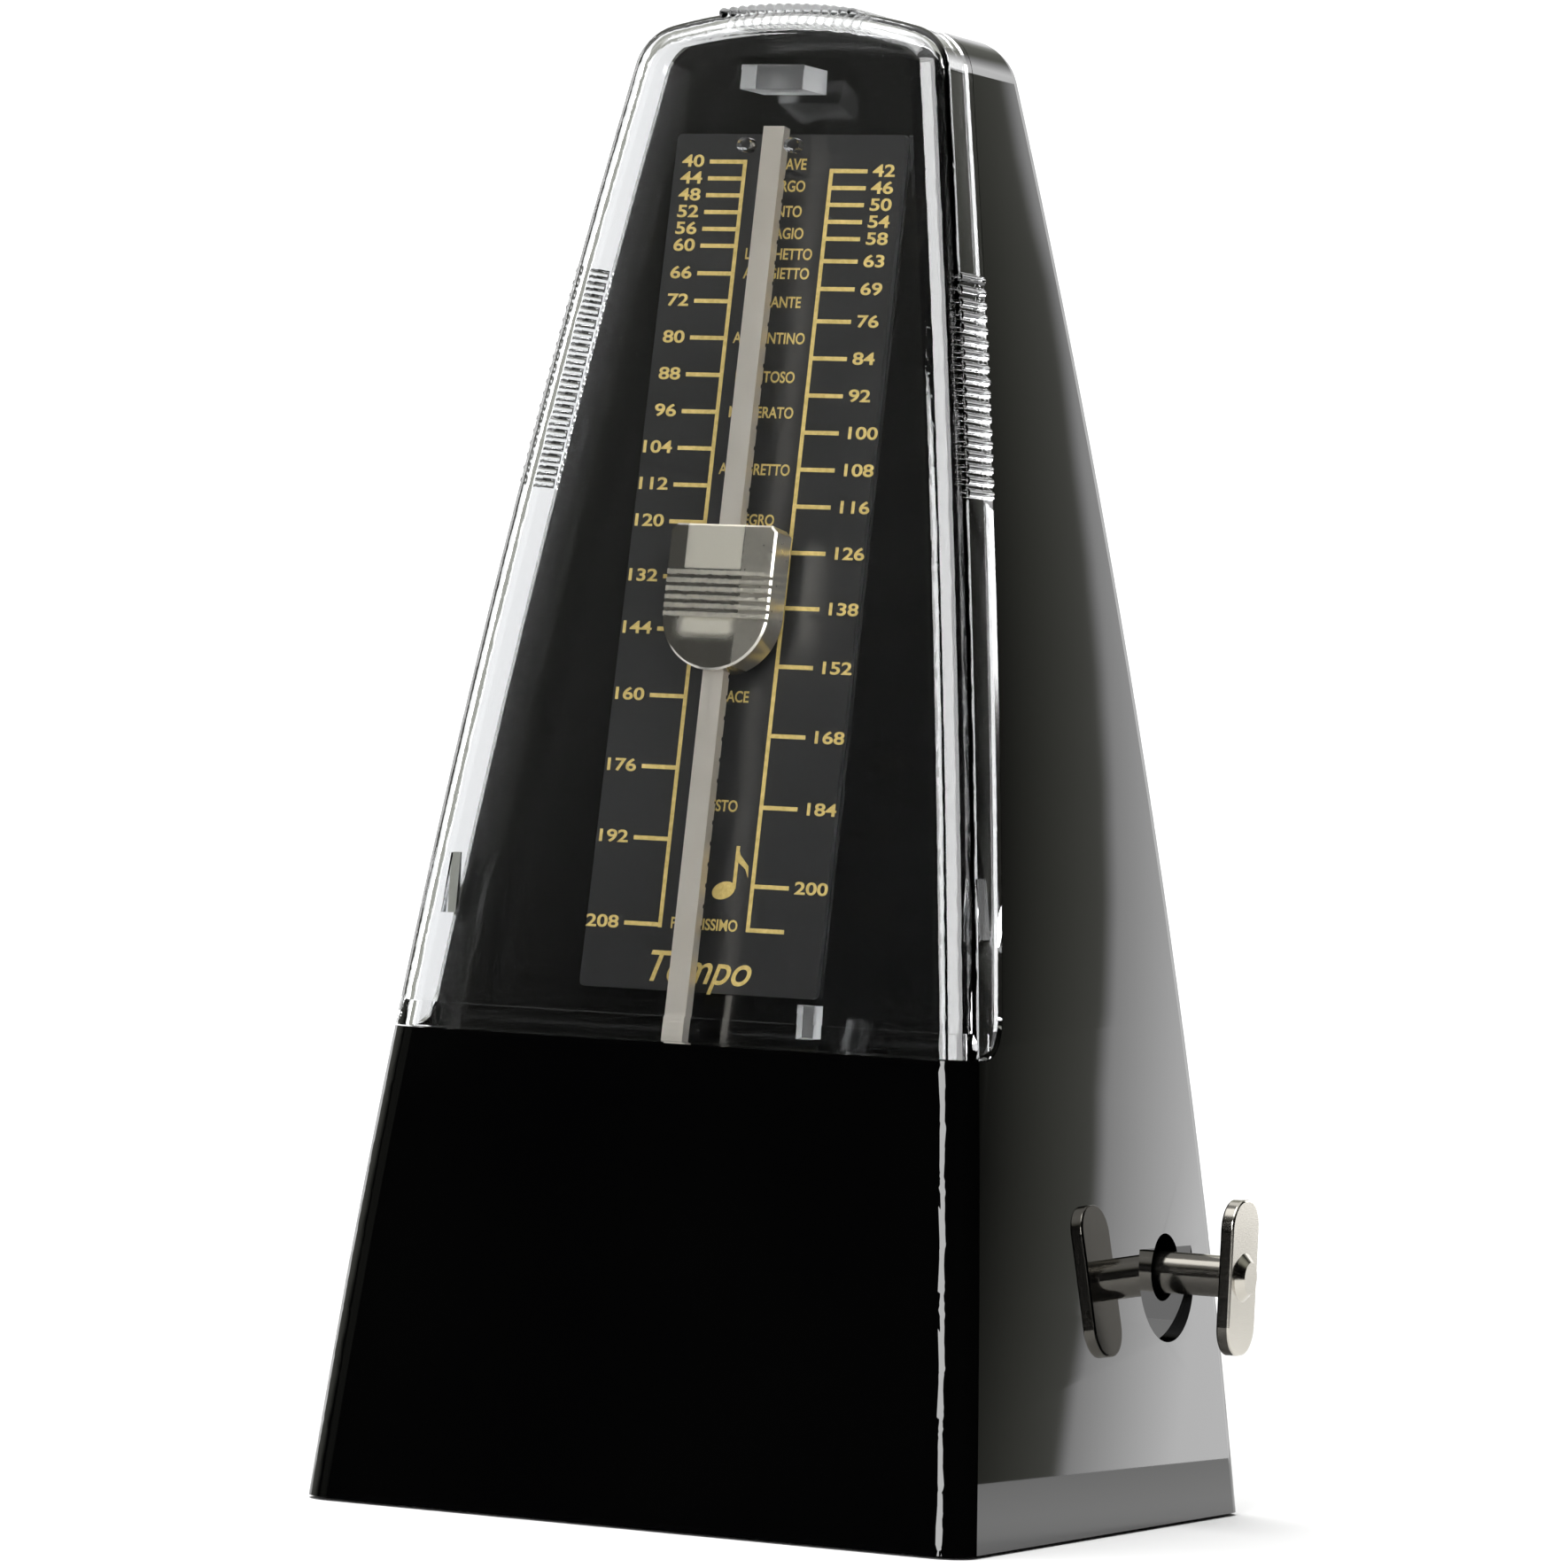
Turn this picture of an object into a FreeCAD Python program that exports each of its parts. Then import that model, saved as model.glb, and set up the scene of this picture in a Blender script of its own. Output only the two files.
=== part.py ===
"""Mechanical tower metronome, built as separate named parts.

Millimetres. The origin is the middle of the base on the surface it stands on:
+X towards the winding key, -Y towards the scale, +Z up.
"""

import math
import os

import FreeCAD
import Part

Vector = FreeCAD.Vector

# --- Outside of the case -------------------------------------------------
TOWER_HEIGHT = 223.3
SIDE_AT_BASE, SIDE_SLOPE, SIDE_CURVE = 54.0, 0.078, 0.000253
FRONT_AT_BASE, FRONT_SLOPE, FRONT_CURVE = 52.5, 0.0935, 0.00017
BACK_AT_BASE, BACK_SLOPE, BACK_CURVE = 52.5, 0.160, 0.00022
TOP_ARC_RADIUS = 78.0
TOP_CORNER_RADIUS = 8.0
UPRIGHT_EDGE_RADIUS = 5.0
CASE_BOTTOM = 0.5
OUTLINE_FOOT = -5.0
CASE_WALL = 2.2

# --- Leaning front: cover, panel, scale plate and pendulum share one slope --
LEAN = 0.14
LEAN_ANGLE = math.atan(LEAN)
LEAN_HEIGHT = 72.0
COVER_REAR = -32.0
PANEL_FRONT = -33.1
PANEL_THICKNESS = 2.0
PLATE_FRONT = -34.2
ROD_MIDDLE = -39.4
FAR = 150.0

# --- Clear cover -----------------------------------------------------------
COVER_BOTTOM = 70.3
COVER_WALL = 1.8
COVER_CORNER_RADIUS = 7.0
COVER_GAP = 0.2
LIP_HEIGHT = 3.6
LIP_DEPTH = 0.7
RIB_PITCH = 1.86
RIB_RADIUS = 0.75
RIB_SINK = 0.2
SIDE_RIB_COUNT = 18
SIDE_RIB_LOWEST = 151.8
TOP_RIB_COUNT = 15
TOP_RIB_PITCH = 1.5
PEG_HEIGHT = 202.4
PEG_RADIUS = 1.1
PEG_PLACES = (-4.7, 3.0)
LUG_LEFT, LUG_RIGHT = -6.5, 3.7
LUG_LOW, LUG_HIGH = 210.7, 214.3
LUG_REAR = -15.0
FOOT_TAB_LEFT, FOOT_TAB_RIGHT = 19.6, 22.2
FOOT_TAB_MIDDLE, FOOT_TAB_HALF = 74.2, 2.4

# --- Inner panel and scale plate --------------------------------------------
PENDULUM_X = -1.35
SHELF_THICKNESS = 2.0
SLOT_HALF_WIDTH = 13.0
SLOT_REAR = -35.0
PLATE_LOW, PLATE_HIGH = 77.3, 204.8
PLATE_HALF_LOW, PLATE_HALF_HIGH = 19.4, 18.9

# --- Base -------------------------------------------------------------------
BASE_LOW, BASE_HIGH = 2.2, 4.6
BASE_PLATE_INSET = 2.5
FOOT_RADIUS = 6.0
FOOT_PLACES = ((36.0, 31.0), (-36.0, 31.0), (36.0, -33.0), (-36.0, -33.0))
BOSS_RADIUS = 4.0
BOSS_TOP = 22.0
WEB_HALF = 0.8
BOSS_PLACES = ((44.5, 39.5), (-44.5, 39.5), (44.5, -41.5), (-44.5, -41.5))

# --- Screws -----------------------------------------------------------------
SCREW_RADIUS = 1.2
SCREW_CLEARANCE = 0.1
HEAD_RADIUS = 2.6
HEAD_HEIGHT = 1.4

# --- Movement frame ----------------------------------------------------------
FRAME_HALF = 32.0
FRAME_PLATE = 1.6
FRAME_OUTLINE = ((-30.0, 4.6), (46.0, 4.6), (46.0, 20.0), (38.5, 62.0), (-30.0, 62.0))
FLANGE_REACH = 39.8
PILLAR_RADIUS = 2.5
PILLAR_PLACES = ((-22.0, 12.0), (-14.0, 44.0), (34.0, 57.2), (40.0, 15.0))
MOVEMENT_SCREW_PLACES = ((36.8, -20.0), (36.8, 24.0), (-36.8, -20.0), (-36.8, 24.0))
RUNNING_GAP = 0.06

# --- Winding key and going train ----------------------------------------------
KEY_Y, KEY_Z = 24.3, 38.0
KEY_HOLE_RADIUS = 5.1
KEY_HOLE_LIFT = 0.7
KEY_DISH_RADIUS = 10.5
KEY_DISH_FACE = 50.3
KEY_STEM_RADIUS = 3.15
KEY_STEM_START = 34.2
WING_INNER, WING_OUTER = 61.2, 63.3
WING_HEIGHT, WING_WIDTH, WING_CORNER = 23.4, 10.2, 4.4
RIVET_RADIUS, RIVET_HEIGHT, RIVET_SHANK = 3.7, 1.1, 2.0
ARBOR_RADIUS, ARBOR_PIVOT = 3.5, 2.4
GEAR_MODULE = 0.6
GREAT_TEETH, PINION_TEETH = 60, 12
MESH_ANGLE = math.radians(11.0)
CENTRE_DISTANCE = GEAR_MODULE * (GREAT_TEETH + PINION_TEETH) / 2
ESCAPE_Y = KEY_Y - CENTRE_DISTANCE * math.cos(MESH_ANGLE)
ESCAPE_Z = KEY_Z - CENTRE_DISTANCE * math.sin(MESH_ANGLE)
ESCAPE_WHEEL_RADIUS, ESCAPE_WHEEL_TEETH = 13.0, 24
ESCAPE_TOOTH_HEIGHT = 2.2
CLICK_FACE, CLICK_THICKNESS = 14.8, 1.5
CLICK_OFFSET, CLICK_SPRING_OFFSET = 11.0, 12.9
ESCAPE_ARBOR_RADIUS, ESCAPE_PIVOT = 1.8, 1.0

# --- Pendulum, in its own leaning frame (n backwards, u up the rod) ------------
PIVOT_Z = 59.0
PIVOT_Y = ROD_MIDDLE + LEAN * (PIVOT_Z - LEAN_HEIGHT)
ROD_WIDTH, ROD_THICKNESS = 3.4, 2.0
ROD_TOP, ROD_FOOT = 147.7, -38.0
NOTCH_DEPTH = 0.3
PENDULUM_ARBOR_RADIUS = 1.6
BOB_BOTTOM, BOB_TOP = 65.8, 87.5
BOB_HALF_WIDTH = 8.65
BOB_FRONT, BOB_BACK = -2.7, 2.4
BOB_RIM_CHAMFER = 0.3
WEIGHT_RADIUS, WEIGHT_THICKNESS, WEIGHT_DROP = 15.0, 13.0, 32.0


def side_at(height, inset=0.0):
    """Half-width of the case at a height."""
    return SIDE_AT_BASE - inset - SIDE_SLOPE * height - SIDE_CURVE * height * height


def front_at(height, inset=0.0):
    """Y of the front face at a height."""
    return -(FRONT_AT_BASE - inset) + FRONT_SLOPE * height + FRONT_CURVE * height * height


def back_at(height, inset=0.0):
    """Y of the rear face at a height."""
    return BACK_AT_BASE - inset - BACK_SLOPE * height - BACK_CURVE * height * height


def leaning(middle, height):
    """Y at a height of a plane that leans back with the pendulum."""
    return middle + LEAN * (height - LEAN_HEIGHT)


def top_at(across, inset=0.0):
    """Height of the arched top at a distance across from the middle."""
    radius = TOP_ARC_RADIUS - inset
    return TOWER_HEIGHT - TOP_ARC_RADIUS + math.sqrt(radius * radius - across * across)


def prism(points, direction):
    """Solid swept from a closed outline of straight edges."""
    wire = Part.makePolygon([Vector(*p) for p in points] + [Vector(*points[0])])
    return Part.Face(wire).extrude(Vector(*direction))


def block(low, high):
    """Axis-aligned box between two corners."""
    size = [b - a for a, b in zip(low, high)]
    return Part.makeBox(size[0], size[1], size[2], Vector(*low))


def rod_x(radius, start, end, y, z):
    """Cylinder along X."""
    return Part.makeCylinder(radius, end - start, Vector(start, y, z), Vector(1, 0, 0))


def rod_y(radius, start, end, x, z):
    """Cylinder along Y."""
    return Part.makeCylinder(radius, end - start, Vector(x, start, z), Vector(0, 1, 0))


def rod_z(radius, start, end, x, y):
    """Cylinder along Z."""
    return Part.makeCylinder(radius, end - start, Vector(x, y, start))


def joined(shapes):
    """One clean solid from overlapping shapes."""
    shapes = list(shapes)
    return shapes[0].fuse(shapes[1:]).removeSplitter()


def side_profile(inset):
    """Front view of the tower: curved flanks and an arched top."""
    bottom = OUTLINE_FOOT
    height = TOWER_HEIGHT - inset - 5.0
    for _ in range(20):
        height = top_at(side_at(height, inset), inset)
    half = side_at(height, inset)
    middle = (bottom + height) / 2
    left = Part.Arc(
        Vector(-side_at(bottom, inset), 0, bottom),
        Vector(-side_at(middle, inset), 0, middle),
        Vector(-half, 0, height),
    )
    crown = Part.Arc(
        Vector(-half, 0, height), Vector(0, 0, TOWER_HEIGHT - inset), Vector(half, 0, height)
    )
    right = Part.Arc(
        Vector(half, 0, height),
        Vector(side_at(middle, inset), 0, middle),
        Vector(side_at(bottom, inset), 0, bottom),
    )
    foot = Part.LineSegment(
        Vector(side_at(bottom, inset), 0, bottom), Vector(-side_at(bottom, inset), 0, bottom)
    )
    face = Part.Face(Part.Wire([e.toShape() for e in (left, crown, right, foot)]))
    solid = face.extrude(Vector(0, 2 * FAR, 0))
    solid.translate(Vector(0, -FAR, 0))
    corners = []
    for edge in solid.Edges:
        box = edge.BoundBox
        if box.ZLength < 0.01 and abs(box.ZMin - height) < 0.01 and box.YLength > FAR:
            corners.append(edge)
    return solid.makeFillet(max(TOP_CORNER_RADIUS - inset, 1.0), corners)


def depth_profile(inset):
    """Side view of the tower: curved front and back."""
    bottom = OUTLINE_FOOT
    top = TOWER_HEIGHT + 10.0
    middle = (bottom + top) / 2
    front = Part.Arc(
        Vector(0, front_at(bottom, inset), bottom),
        Vector(0, front_at(middle, inset), middle),
        Vector(0, front_at(top, inset), top),
    )
    lid = Part.LineSegment(Vector(0, front_at(top, inset), top), Vector(0, back_at(top, inset), top))
    back = Part.Arc(
        Vector(0, back_at(top, inset), top),
        Vector(0, back_at(middle, inset), middle),
        Vector(0, back_at(bottom, inset), bottom),
    )
    foot = Part.LineSegment(
        Vector(0, back_at(bottom, inset), bottom), Vector(0, front_at(bottom, inset), bottom)
    )
    face = Part.Face(Part.Wire([e.toShape() for e in (front, lid, back, foot)]))
    solid = face.extrude(Vector(2 * FAR, 0, 0))
    solid.translate(Vector(-FAR, 0, 0))
    return solid


def tower(inset=0.0, bottom=CASE_BOTTOM):
    """Solid of the whole tower, shrunk by an inset on every side but the bottom."""
    solid = side_profile(inset).common(depth_profile(inset))
    uprights = []
    for edge in solid.Edges:
        box = edge.BoundBox
        if box.ZLength > TOWER_HEIGHT / 2:
            uprights.append(edge)
    solid = solid.makeFillet(max(UPRIGHT_EDGE_RADIUS - inset, 0.8), uprights)
    return solid.common(block((-FAR, -FAR, bottom), (FAR, FAR, TOWER_HEIGHT + 10.0)))


def front_region(bottom, rear, radius):
    """Everything in front of the leaning plane and above a height, with a round lower rear corner."""
    high = TOWER_HEIGHT + 20.0
    low_rear = (0, leaning(rear, bottom), bottom)
    points = [(-FAR, -FAR, bottom), (-FAR,) + low_rear[1:], (-FAR, leaning(rear, high), high)]
    points.append((-FAR, -FAR, high))
    solid = prism(points, (2 * FAR, 0, 0))
    if radius <= 0:
        return solid
    corner = []
    for edge in solid.Edges:
        box = edge.BoundBox
        if box.XLength > FAR and abs(box.ZMin - bottom) < 0.01 and abs(box.YMax - low_rear[1]) < 0.01:
            corner.append(edge)
    return solid.makeFillet(radius, corner)


def leaning_slab(front, rear, low, high, half=FAR):
    """Slab between two leaning planes and two heights."""
    points = [
        (-half, leaning(front, low), low),
        (-half, leaning(rear, low), low),
        (-half, leaning(rear, high), high),
        (-half, leaning(front, high), high),
    ]
    return prism(points, (2 * half, 0, 0))


def lean(shape):
    """Place a part drawn about the pendulum's pivot, upright, into the leaning frame."""
    placed = shape.copy()
    placed.rotate(Vector(0, 0, 0), Vector(1, 0, 0), -math.degrees(LEAN_ANGLE))
    placed.translate(Vector(PENDULUM_X, PIVOT_Y, PIVOT_Z))
    return placed


def body_shell():
    """Glossy case: hollow tower open at the bottom and where the cover goes."""
    shell = tower().cut(tower(CASE_WALL, CASE_BOTTOM - 1.0))
    opening = front_region(COVER_BOTTOM - COVER_GAP, COVER_REAR + COVER_GAP, COVER_CORNER_RADIUS)
    shell = shell.cut(opening)
    inside = tower(1.0, BASE_HIGH)
    additions = []
    for x, y in BOSS_PLACES:
        boss = rod_z(BOSS_RADIUS, BASE_HIGH, BOSS_TOP, x, y)
        reach_x = math.copysign(10.0, x)
        reach_y = math.copysign(12.0, y)
        left, right = sorted((x, x + reach_x))
        front, rear = sorted((y, y + reach_y))
        web_x = block((left, y - WEB_HALF, BASE_HIGH), (right, y + WEB_HALF, BOSS_TOP))
        web_y = block((x - WEB_HALF, front, BASE_HIGH), (x + WEB_HALF, rear, BOSS_TOP))
        additions += [boss.common(inside), web_x.common(inside), web_y.common(inside)]
    pad = rod_x(KEY_DISH_RADIUS + 2.0, 46.6, 54.0, KEY_Y, KEY_Z).common(tower(1.0, BASE_HIGH))
    shell = joined([shell] + additions + [pad])
    for x, y in BOSS_PLACES:
        shell = shell.cut(rod_z(SCREW_RADIUS, BASE_HIGH - 1.0, 14.0, x, y))
    shell = shell.cut(rod_x(KEY_DISH_RADIUS, KEY_DISH_FACE, 60.0, KEY_Y, KEY_Z))
    return shell.cut(rod_x(KEY_HOLE_RADIUS, 40.0, 60.0, KEY_Y, KEY_Z + KEY_HOLE_LIFT))


def inner_panel():
    """Leaning panel behind the pendulum with the shelf it stands on."""
    inside = tower(CASE_WALL, CASE_BOTTOM)
    shelf_top = COVER_BOTTOM - COVER_GAP
    panel = leaning_slab(
        PANEL_FRONT, PANEL_FRONT + PANEL_THICKNESS, shelf_top - SHELF_THICKNESS, TOWER_HEIGHT + 5.0
    )
    shelf_rear = leaning(PANEL_FRONT, shelf_top) + 1.0
    shelf = block((-FAR, -FAR, shelf_top - SHELF_THICKNESS), (FAR, shelf_rear, shelf_top))
    slot = block(
        (PENDULUM_X - SLOT_HALF_WIDTH, -FAR, shelf_top - 5.0),
        (PENDULUM_X + SLOT_HALF_WIDTH, SLOT_REAR, shelf_top + 1.0),
    )
    solid = joined([panel, shelf]).common(inside).cut(slot)
    pocket = prism(
        [
            (PENDULUM_X - 4.0, -FAR, 206.0),
            (PENDULUM_X + 1.5, -FAR, 206.0),
            (PENDULUM_X + 9.0, -FAR, 211.5),
            (PENDULUM_X + 7.5, -FAR, 216.5),
            (PENDULUM_X - 11.0, -FAR, 216.5),
            (PENDULUM_X - 12.5, -FAR, 211.5),
        ],
        (0, 2 * FAR, 0),
    )
    pocket = pocket.common(leaning_slab(-FAR, PANEL_FRONT + 1.2, 200.0, 220.0))
    return solid.cut(pocket)


def scale_plate():
    """Thin dark plate that carries the printed tempo scale."""
    outline = prism(
        [
            (PENDULUM_X - PLATE_HALF_LOW, -FAR, PLATE_LOW),
            (PENDULUM_X + PLATE_HALF_LOW, -FAR, PLATE_LOW),
            (PENDULUM_X + PLATE_HALF_HIGH, -FAR, PLATE_HIGH),
            (PENDULUM_X - PLATE_HALF_HIGH, -FAR, PLATE_HIGH),
        ],
        (0, 2 * FAR, 0),
    )
    corners = [e for e in outline.Edges if e.BoundBox.YLength > FAR]
    outline = outline.makeFillet(0.8, corners)
    return outline.common(leaning_slab(PLATE_FRONT, PANEL_FRONT, PLATE_LOW - 5.0, PLATE_HIGH + 5.0))


def cover_ribs():
    """Grip ribs on both flanks and on the crown of the cover."""
    ribs = []
    for index in range(SIDE_RIB_COUNT):
        height = SIDE_RIB_LOWEST + index * RIB_PITCH
        across = side_at(height) - RIB_SINK
        front = front_at(height) + UPRIGHT_EDGE_RADIUS - 0.5
        rear = leaning(COVER_REAR, height) - 0.5
        for side in (-1, 1):
            ribs.append(rod_y(RIB_RADIUS, front, rear, side * across, height))
    for index in range(TOP_RIB_COUNT):
        across = (index - (TOP_RIB_COUNT - 1) / 2) * TOP_RIB_PITCH
        height = top_at(across) - 0.35
        front = front_at(height) + 0.8
        rear = leaning(COVER_REAR, height) - 0.8
        ribs.append(rod_y(RIB_RADIUS, front, rear, across, height))
    return ribs


def front_cover():
    """Clear cover that wraps the front, flanks and top of the pendulum space."""
    region = front_region(COVER_BOTTOM, COVER_REAR, COVER_CORNER_RADIUS)
    inner = tower(COVER_WALL, COVER_BOTTOM - 5.0)
    wall = tower(0.0, COVER_BOTTOM - 5.0).cut(inner).common(region)
    lip = inner.cut(tower(COVER_WALL + LIP_DEPTH, COVER_BOTTOM - 5.0))
    lip = lip.common(block((-FAR, -FAR, COVER_BOTTOM), (FAR, FAR, COVER_BOTTOM + LIP_HEIGHT)))
    lip = lip.common(front_region(COVER_BOTTOM - 1.0, PLATE_FRONT - 0.3, 0)).common(region)
    pieces = [wall, lip]
    pieces += [rib.common(region) for rib in cover_ribs()]
    peg_end = leaning(ROD_MIDDLE, PEG_HEIGHT) - ROD_THICKNESS / 2 - 0.5
    for x in PEG_PLACES:
        pieces.append(rod_y(PEG_RADIUS, front_at(PEG_HEIGHT) + 1.0, peg_end, x, PEG_HEIGHT))
    pieces.append(block((LUG_LEFT, front_at(LUG_LOW) + 1.4, LUG_LOW), (LUG_RIGHT, LUG_REAR, LUG_HIGH)))
    foot = front_at(FOOT_TAB_MIDDLE)
    pieces.append(
        block(
            (FOOT_TAB_LEFT, foot + 1.0, FOOT_TAB_MIDDLE - FOOT_TAB_HALF),
            (FOOT_TAB_RIGHT, foot + 5.0, FOOT_TAB_MIDDLE + FOOT_TAB_HALF),
        )
    )
    for side in (-1, 1):
        outer = side * (side_at(91.5) - 1.0)
        inner_x = side * (side_at(91.5) - 2.8)
        rear = leaning(PLATE_FRONT, 87.0) - 0.4
        low = (min(outer, inner_x), rear - 3.5, 87.0)
        high = (max(outer, inner_x), rear, 96.0)
        pieces.append(block(low, high))
    return joined(pieces)


def base_plate():
    """Plate that closes the bottom, with sound slots and screw holes."""
    inside = tower(BASE_PLATE_INSET, CASE_BOTTOM)
    plate = inside.common(block((-FAR, -FAR, BASE_LOW), (FAR, FAR, BASE_HIGH)))
    for x, y in BOSS_PLACES:
        plate = plate.cut(rod_z(SCREW_RADIUS + SCREW_CLEARANCE, 0.0, 10.0, x, y))
    for x, y in MOVEMENT_SCREW_PLACES:
        plate = plate.cut(rod_z(SCREW_RADIUS + SCREW_CLEARANCE, 0.0, 10.0, x, y))
    for index in range(5):
        y = (index - 2) * 7.0
        slot = joined(
            [
                block((-14.0, y - 1.2, 0.0), (14.0, y + 1.2, 10.0)),
                rod_z(1.2, 0.0, 10.0, -14.0, y),
                rod_z(1.2, 0.0, 10.0, 14.0, y),
            ]
        )
        plate = plate.cut(slot)
    return plate


def base_screws():
    """Pan-head screws that hold the base plate to the case."""
    screws = []
    for x, y in BOSS_PLACES:
        head = rod_z(HEAD_RADIUS, BASE_LOW - HEAD_HEIGHT, BASE_LOW, x, y)
        shank = rod_z(SCREW_RADIUS, BASE_LOW - 0.2, 13.0, x, y)
        cross = joined(
            [
                block((x - 1.6, y - 0.25, 0.0), (x + 1.6, y + 0.25, BASE_LOW - HEAD_HEIGHT + 0.6)),
                block((x - 0.25, y - 1.6, 0.0), (x + 0.25, y + 1.6, BASE_LOW - HEAD_HEIGHT + 0.6)),
            ]
        )
        screws.append(joined([head, shank]).cut(cross))
    return Part.makeCompound(screws)


def rubber_feet():
    """Four round feet under the base plate."""
    feet = []
    for x, y in FOOT_PLACES:
        foot = rod_z(FOOT_RADIUS, 0.0, BASE_LOW, x, y)
        rim = [e for e in foot.Edges if e.BoundBox.ZMax < 0.01]
        feet.append(foot.makeFillet(0.5, rim))
    return Part.makeCompound(feet)


def movement_plate(side):
    """Upright steel plate of the movement with a foot flange; side is -1 or 1."""
    start = FRAME_HALF if side > 0 else -FRAME_HALF - FRAME_PLATE
    plate = prism([(start, y, z) for y, z in FRAME_OUTLINE], (FRAME_PLATE, 0, 0))
    inner, outer = FRAME_HALF, FLANGE_REACH
    low = (inner if side > 0 else -outer, -28.0, BASE_HIGH)
    high = (outer if side > 0 else -inner, 33.0, BASE_HIGH + FRAME_PLATE)
    plate = joined([plate, block(low, high)])
    key_hole = ARBOR_PIVOT + RUNNING_GAP
    plate = plate.cut(rod_x(key_hole, -40.0, 40.0, KEY_Y, KEY_Z))
    plate = plate.cut(rod_x(ESCAPE_PIVOT + RUNNING_GAP, -40.0, 40.0, ESCAPE_Y, ESCAPE_Z))
    for y, z in PILLAR_PLACES:
        plate = plate.cut(rod_x(SCREW_RADIUS + SCREW_CLEARANCE, -40.0, 40.0, y, z))
    for x, y in MOVEMENT_SCREW_PLACES:
        plate = plate.cut(rod_z(SCREW_RADIUS + SCREW_CLEARANCE, 0.0, BASE_HIGH + 3.0, x, y))
    return plate


def pillars():
    """Four pillars that hold the movement plates apart."""
    bars = []
    for y, z in PILLAR_PLACES:
        bar = rod_x(PILLAR_RADIUS, -FRAME_HALF, FRAME_HALF, y, z)
        for end in (-FRAME_HALF, FRAME_HALF):
            depth = 9.0
            start = end if end < 0 else end - depth
            bar = bar.cut(rod_x(SCREW_RADIUS, start, start + depth, y, z))
        bars.append(bar)
    return Part.makeCompound(bars)


def pillar_screws():
    """Slotted screws through the movement plates into the pillars."""
    screws = []
    outside = FRAME_HALF + FRAME_PLATE
    for y, z in PILLAR_PLACES:
        for side in (-1, 1):
            head_ends = sorted((side * outside, side * (outside + HEAD_HEIGHT)))
            shank_ends = sorted((side * (FRAME_HALF - 7.0), side * (outside + 0.2)))
            head = rod_x(HEAD_RADIUS, head_ends[0], head_ends[1], y, z)
            shank = rod_x(SCREW_RADIUS, shank_ends[0], shank_ends[1], y, z)
            slot_ends = sorted((side * (outside + 0.8), side * (outside + 3.0)))
            slot = block((slot_ends[0], y - 4.0, z - 0.3), (slot_ends[1], y + 4.0, z + 0.3))
            screws.append(joined([head, shank]).cut(slot))
    return Part.makeCompound(screws)


def movement_screws():
    """Screws that hold the movement's flanges down on the base plate."""
    screws = []
    flange_top = BASE_HIGH + FRAME_PLATE
    for x, y in MOVEMENT_SCREW_PLACES:
        head = rod_z(HEAD_RADIUS, flange_top, flange_top + HEAD_HEIGHT, x, y)
        shank = rod_z(SCREW_RADIUS, BASE_LOW + 0.1, flange_top + 0.2, x, y)
        slot = block((x - 4.0, y - 0.3, flange_top + 0.7), (x + 4.0, y + 0.3, flange_top + 4.0))
        screws.append(joined([head, shank]).cut(slot))
    return Part.makeCompound(screws)


def front_bearing():
    """Cross bar behind the counterweight's pivot that carries the pendulum arbor."""
    reach = FRAME_HALF
    bar = block((-reach - PENDULUM_X, 14.0, -4.2), (reach - PENDULUM_X, 18.0, 4.2))
    bar = bar.cut(rod_y(PENDULUM_ARBOR_RADIUS + RUNNING_GAP, 0.0, 30.0, 0.0, 0.0))
    return lean(bar)


def rear_bearing():
    """Arm from the left movement plate to the rear end of the pendulum arbor."""
    bar = block((-FRAME_HALF - PENDULUM_X, 54.0, -4.2), (5.0, 57.5, 4.2))
    bar = bar.cut(rod_y(PENDULUM_ARBOR_RADIUS + RUNNING_GAP, 40.0, 70.0, 0.0, 0.0))
    return lean(bar)


def mainspring():
    """Spiral spring strip around the winding arbor."""
    thickness, pitch, inner_radius = 0.5, 2.0, 4.6
    turns, steps = 5.5, 24
    count = int(turns * steps)
    inner, outer = [], []
    for index in range(count + 1):
        angle = 2 * math.pi * index / steps
        radius = inner_radius + pitch * index / steps
        inner.append((18.5, KEY_Y + radius * math.cos(angle), KEY_Z + radius * math.sin(angle)))
        radius += thickness
        outer.append((18.5, KEY_Y + radius * math.cos(angle), KEY_Z + radius * math.sin(angle)))
    return prism(inner + outer[::-1], (11.0, 0, 0))


def pendulum_rod():
    """Flat rod with a boss at the pivot and small click notches on its back."""
    half = ROD_WIDTH / 2
    strip = block((-half, -ROD_THICKNESS / 2, ROD_FOOT), (half, ROD_THICKNESS / 2, ROD_TOP))
    boss = rod_y(4.0, -ROD_THICKNESS / 2, ROD_THICKNESS / 2, 0.0, 0.0)
    rod = joined([strip, boss])
    for index in range(37):
        height = 28.0 + index * 3.1
        rod = rod.cut(
            block((-half, ROD_THICKNESS / 2 - NOTCH_DEPTH, height), (half, ROD_THICKNESS, height + 0.6))
        )
    rod = rod.cut(rod_y(PENDULUM_ARBOR_RADIUS, -5.0, 5.0, 0.0, 0.0))
    return lean(rod)


def pendulum_arbor():
    """Pivot shaft through the rod, with collars before and behind it."""
    shaft = rod_y(PENDULUM_ARBOR_RADIUS, -2.0, 59.0, 0.0, 0.0)
    front = rod_y(3.0, -2.0, -ROD_THICKNESS / 2, 0.0, 0.0)
    rear = rod_y(3.4, ROD_THICKNESS / 2, 6.0, 0.0, 0.0)
    return lean(joined([shaft, front, rear]))


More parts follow.
